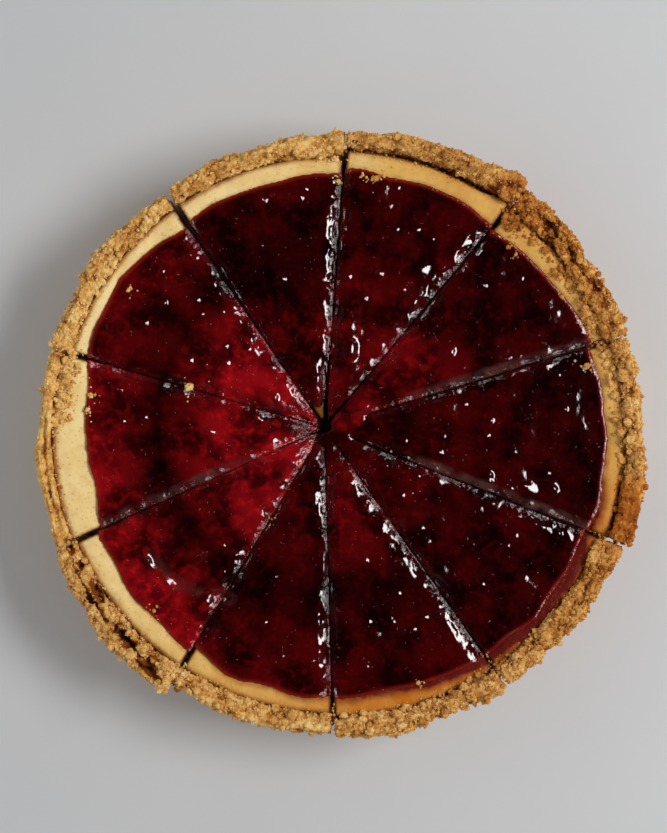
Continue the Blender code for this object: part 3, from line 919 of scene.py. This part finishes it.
crumb_radii = chance.uniform(0.35, 0.68, CRUMBS)
crumbs = np.concatenate([rim_places(CRUMBS - 700, crumb_radii[:CRUMBS - 700]),
                         level_places(350, crumb_radii[-700:-350], 1.0, 1.0), bridge_places(305),
                         stray_places(3, 1.1)])
grain_radii = chance.uniform(0.25, 0.45, GRAINS)
grains = np.concatenate([rim_places(GRAINS - 1800, grain_radii[:GRAINS - 1800]),
                         level_places(1300, grain_radii[-1800:-500], 1.2), bridge_places(425),
                         stray_places(5, 2.0)])


def crumb_marks(places, low, high):
    """A random tone for each crumb, and the browning of the rim where it lies, which is partly painted shade.
    """
    return {"tone_and_shade": chance.uniform(low, high, len(places)), "browning_and_shade": by_direction(places, RIM_BROWNING_AND_SHADE)}


crumb_pieces = [join_copies("crust_clumps", clump_kinds, clumps, clump_radii, crumb_marks(clumps, 0.35, 0.75)),
                join_copies("crust_crumbs", crumb_kinds, crumbs, crumb_radii, crumb_marks(crumbs, 0.28, 0.82)),
                join_copies("crust_grains", grain_kinds, grains, grain_radii, crumb_marks(grains, 0.22, 0.92))]

# %% [markdown]
# Berry seeds sit under the skin of the jam, in loose clusters and most of all
# where it tore. Each is sunk almost to its middle and has the colour of the
# jam around it, so that only its glint shows.

# %% Strew the seeds in the jam
SEEDS = 1500
jam_points = np.concatenate([points_of(piece.data) for piece in jams])
jam_normals = np.concatenate([normals_of(piece.data) for piece in jams])
jam_red = np.concatenate([[value.value for value in piece.data.attributes["redness"].data] for piece in jams])
jam_torn = np.concatenate([[value.value for value in piece.data.attributes["torn"].data] for piece in jams])
clusters = np.sin(jam_points @ (310.0, 170.0, 0.0)) * np.sin(jam_points @ (-140.0, 260.0, 0.0))
upward = step_up(jam_normals[:, 2], 0.75, 0.95) * (0.05 + jam_torn + 0.35 * step_up(clusters, 0.35, 0.9))
chosen = chance.choice(len(jam_points), size=SEEDS, p=upward / upward.sum())
seed_radii = chance.uniform(0.3, 0.75, SEEDS)
seeds = jam_points[chosen] - jam_normals[chosen] * (seed_radii * 0.45 * MM)[:, None]
seed_piece = join_copies("jam_seeds", seed_kinds, seeds, seed_radii,
                         {"redness": jam_red[chosen] * 1.1, "torn": np.zeros(SEEDS), "dull_and_sheen": np.zeros(SEEDS),
                          "thin": np.zeros(SEEDS)},
                         smooth=True)

# %% [markdown]
# ## The finish of the crust
#
# The crumbs carry painted light and shade: golden where they stand out and
# dark brown in the hollows between them. The relief that was kept for each
# point does most of this, with painted shade in the holes too; two noises,
# one of the size of a patch and one finer than a crumb, break it up. A
# second colour ramp is for the well-baked stretches of the rim, and the
# browning that was kept for each direction, partly painted shade on the
# right-hand side, mixes the two.

# %% Crust finish
def ramp(tree, source, stops):
    """A colour ramp from (position, colour) stops."""
    item = add(tree, "ValToRGB", {"Fac": source})
    elements = item.color_ramp.elements
    while len(elements) < len(stops):
        elements.new(0.5)
    for element, (position, colour) in zip(elements, stops):
        element.position = position
        element.color = (*colour, 1.0)
    return item.outputs["Color"]


def number_of(tree, name):
    """The number kept for each point under a name."""
    return add(tree, "Attribute", attribute_name=name).outputs["Fac"]


def times_plus(tree, source, factor, plus):
    item = add(tree, "Math", {0: source}, operation="MULTIPLY_ADD")
    item.inputs[1].default_value = factor
    item.inputs[2].default_value = plus
    return item.outputs[0]


def sum_of(tree, first, second):
    return add(tree, "Math", {0: first, 1: second}, operation="ADD").outputs[0]


def product_of(tree, first, second):
    return add(tree, "Math", {0: first, 1: second}, operation="MULTIPLY").outputs[0]


def clamped(tree, source):
    return add(tree, "Clamp", {"Value": source}).outputs["Result"]


def noise(tree, place, scale, detail=3.0):
    return add(tree, "TexNoise", {"Vector": place}, scale=scale, detail=detail).outputs["Fac"]


def mixed_colour(tree, part, first, second):
    return add(tree, "MixRGB", {"Fac": part, "Color1": first, "Color2": second}).outputs["Color"]


def tinted(tree, part, colour, tint):
    """A colour mixed with a fixed tint."""
    return add(tree, "MixRGB", {"Fac": part, "Color1": colour}, color2=(*tint, 1.0)).outputs["Color"]


def crust_material():
    """Golden crumbs with painted light on their tops and painted shade in the hollows, browner where well baked
    and where the rim's shade is painted.
    """
    material = bpy.data.materials.new("baked_crumbs")
    tree = new_tree(material)
    place = add(tree, "TexCoord").outputs["Object"]
    speck = times_plus(tree, noise(tree, place, 900.0, 4.0), 0.9, -0.45)
    patch = times_plus(tree, noise(tree, place, 130.0), 0.8, -0.4)
    # the tone carries the painted light of the tops and the painted shade of the hollows
    tone = clamped(tree, sum_of(tree, number_of(tree, "tone_and_shade"), sum_of(tree, speck, patch)))
    pale = ramp(tree, tone, ((0.0, (0.28, 0.075, 0.009)), (0.30, (0.62, 0.30, 0.070)),
                             (0.60, (0.86, 0.54, 0.165)), (1.0, (0.98, 0.77, 0.38))))
    brown = ramp(tree, tone, ((0.0, (0.10, 0.016, 0.002)), (0.35, (0.34, 0.088, 0.010)),
                              (0.70, (0.56, 0.205, 0.026)), (1.0, (0.84, 0.47, 0.12))))
    # the browning mixes in the brown ramp, partly as painted shade
    colour = mixed_colour(tree, number_of(tree, "browning_and_shade"), pale, brown)
    bump = add(tree, "Bump", {"Height": noise(tree, place, 1300.0, 4.0)}, strength=0.5, distance=0.0005)
    shader = add(tree, "BsdfPrincipled", {"Base Color": colour, "Normal": bump.outputs["Normal"]},
                 roughness=0.85)
    shader.inputs["Specular IOR Level"].default_value = 0.1
    add(tree, "OutputMaterial", {"Surface": shader.outputs["BSDF"]})
    return material


# %% [markdown]
# ## The finish of the filling
#
# Baked cheese is cream, tan in a narrow band along the wall, and brown round
# the right-hand side, partly baked colour and partly painted shade from the
# rim. The jam stained it next to its edge, and the knife drew a red smear
# down each cut. Small dark pores freckle it.

# %% Filling finish
def filling_material():
    """Baked cheese with its tan, its stain, its smears and its pores."""
    material = bpy.data.materials.new("baked_cheese")
    tree = new_tree(material)
    place = add(tree, "TexCoord").outputs["Object"]
    patch = noise(tree, place, 90.0)
    # browning and painted shade by direction, broken up by patches
    browned_and_shaded = clamped(tree, sum_of(tree, number_of(tree, "browning_and_shade"), times_plus(tree, patch, 0.6, -0.26)))
    colour = ramp(tree, browned_and_shaded, ((0.0, (0.97, 0.75, 0.35)), (0.5, (0.76, 0.45, 0.115)),
                                  (1.0, (0.54, 0.15, 0.006))))
    mottled = clamped(tree, times_plus(tree, noise(tree, place, 280.0, 5.0), 3.2, -1.55))
    colour = tinted(tree, times_plus(tree, mottled, 0.30, 0.0), colour, (0.58, 0.29, 0.06))
    tan = product_of(tree, number_of(tree, "tan"), times_plus(tree, noise(tree, place, 300.0), 1.2, 0.1))
    colour = tinted(tree, tan, colour, (0.45, 0.18, 0.04))
    reach = sum_of(tree, times_plus(tree, number_of(tree, "stain"), 1.7, -0.1),
                   times_plus(tree, number_of(tree, "from_jam"), -0.30, 0.0))
    stained = clamped(tree, sum_of(tree, reach, times_plus(tree, noise(tree, place, 260.0), 0.8, -0.4)))
    stain = ramp(tree, stained, ((0.0, (0.42, 0.11, 0.010)), (0.5, (0.26, 0.035, 0.005)),
                                 (1.0, (0.12, 0.006, 0.003))))
    colour = mixed_colour(tree, stained, colour, stain)
    colour = tinted(tree, number_of(tree, "covered"), colour, (0.30, 0.125, 0.018))
    streaks = clamped(tree, times_plus(tree, noise(tree, place, 150.0), 2.0, 0.0))
    colour = tinted(tree, product_of(tree, number_of(tree, "smear"), streaks), colour, (0.085, 0.014, 0.004))
    pores = add(tree, "TexVoronoi", {"Vector": place}, scale=620.0)
    freckle = clamped(tree, times_plus(tree, pores.outputs["Distance"], -4.0, 1.1))
    colour = tinted(tree, times_plus(tree, freckle, 0.5, 0.0), colour, (0.30, 0.12, 0.03))
    bump = add(tree, "Bump", {"Height": noise(tree, place, 700.0, 5.0)}, strength=0.5, distance=0.0005)
    shader = add(tree, "BsdfPrincipled", {"Base Color": colour, "Normal": bump.outputs["Normal"]},
                 roughness=0.55)
    shader.inputs["Specular IOR Level"].default_value = 0.12
    add(tree, "OutputMaterial", {"Surface": shader.outputs["BSDF"]})
    return material


# %% [markdown]
# ## The finish of the jam
#
# Dark jam is nearly black where it is deep and bright red where it is thin.
# Real jam lets light through; here the kept redness says how thin it is, and
# an opaque surface is enough. Its gloss is what the eye sees: very smooth in
# the middle, finely wrinkled where it tore, and rougher in a band beside some
# cuts and along the fold, where a greyish painted sheen lies over the red.

# %% Jam finish
def jam_material():
    """Wet dark jam, red where it is thin."""
    material = bpy.data.materials.new("berry_jam")
    tree = new_tree(material)
    place = add(tree, "TexCoord").outputs["Object"]
    blots = clamped(tree, times_plus(tree, noise(tree, place, 80.0, 5.0), 4.6, -1.85))
    fruit = clamped(tree, times_plus(tree, noise(tree, place, 330.0, 5.0), 7.0, -3.6))
    shreds = clamped(tree, times_plus(tree, noise(tree, place, 190.0, 3.0), 9.0, -5.3))
    cloudy = sum_of(tree, times_plus(tree, blots, 1.25, 0.25),
                    sum_of(tree, times_plus(tree, fruit, 0.8, 0.0), times_plus(tree, shreds, 0.6, 0.0)))
    red = product_of(tree, number_of(tree, "redness"), cloudy)
    colour = add(tree, "MixRGB", {"Color1": red}, blend_type="MULTIPLY", fac=1.0,
                 color2=(1.0, 0.012, 0.022, 1.0)).outputs["Color"]
    dull_and_sheen, thin, torn = (number_of(tree, name) for name in ("dull_and_sheen", "thin", "torn"))
    # painted sheen: a greyish tint over the red where the band is dull
    painted_sheen = product_of(tree, dull_and_sheen, times_plus(tree, noise(tree, place, 170.0, 6.0), 5.0, -1.9))
    colour = tinted(tree, clamped(tree, painted_sheen), colour, (0.080, 0.024, 0.020))
    colour = tinted(tree, times_plus(tree, thin, 0.7, 0.0), colour, (0.23, 0.010, 0.004))
    wrinkled = sum_of(tree, times_plus(tree, torn, 2.4, 0.12), thin)
    skin = sum_of(tree, product_of(tree, noise(tree, place, 1300.0, 4.0), wrinkled),
                  times_plus(tree, noise(tree, place, 420.0), 0.6, 0.0))
    bump = add(tree, "Bump", {"Height": skin}, strength=0.40, distance=0.0005)
    dull_roughness = product_of(tree, dull_and_sheen, times_plus(tree, noise(tree, place, 200.0), 1.2, 0.3))
    rough = sum_of(tree, times_plus(tree, dull_roughness, 0.20, 0.07), times_plus(tree, torn, 0.03, 0.0))
    rough = clamped(tree, sum_of(tree, rough, times_plus(tree, thin, 0.12, 0.0)))
    shader = add(tree, "BsdfPrincipled", {"Base Color": colour, "Roughness": rough,
                                          "Normal": bump.outputs["Normal"]})
    shader.inputs["Specular IOR Level"].default_value = 0.8
    add(tree, "OutputMaterial", {"Surface": shader.outputs["BSDF"]})
    return material


for material, group in ((crust_material(), crusts + crumb_pieces), (filling_material(), fillings),
                        (jam_material(), jams + [pool, seed_piece])):
    for piece in group:
        piece.data.materials.append(material)
    print(material.name, "on", len(group), "pieces")
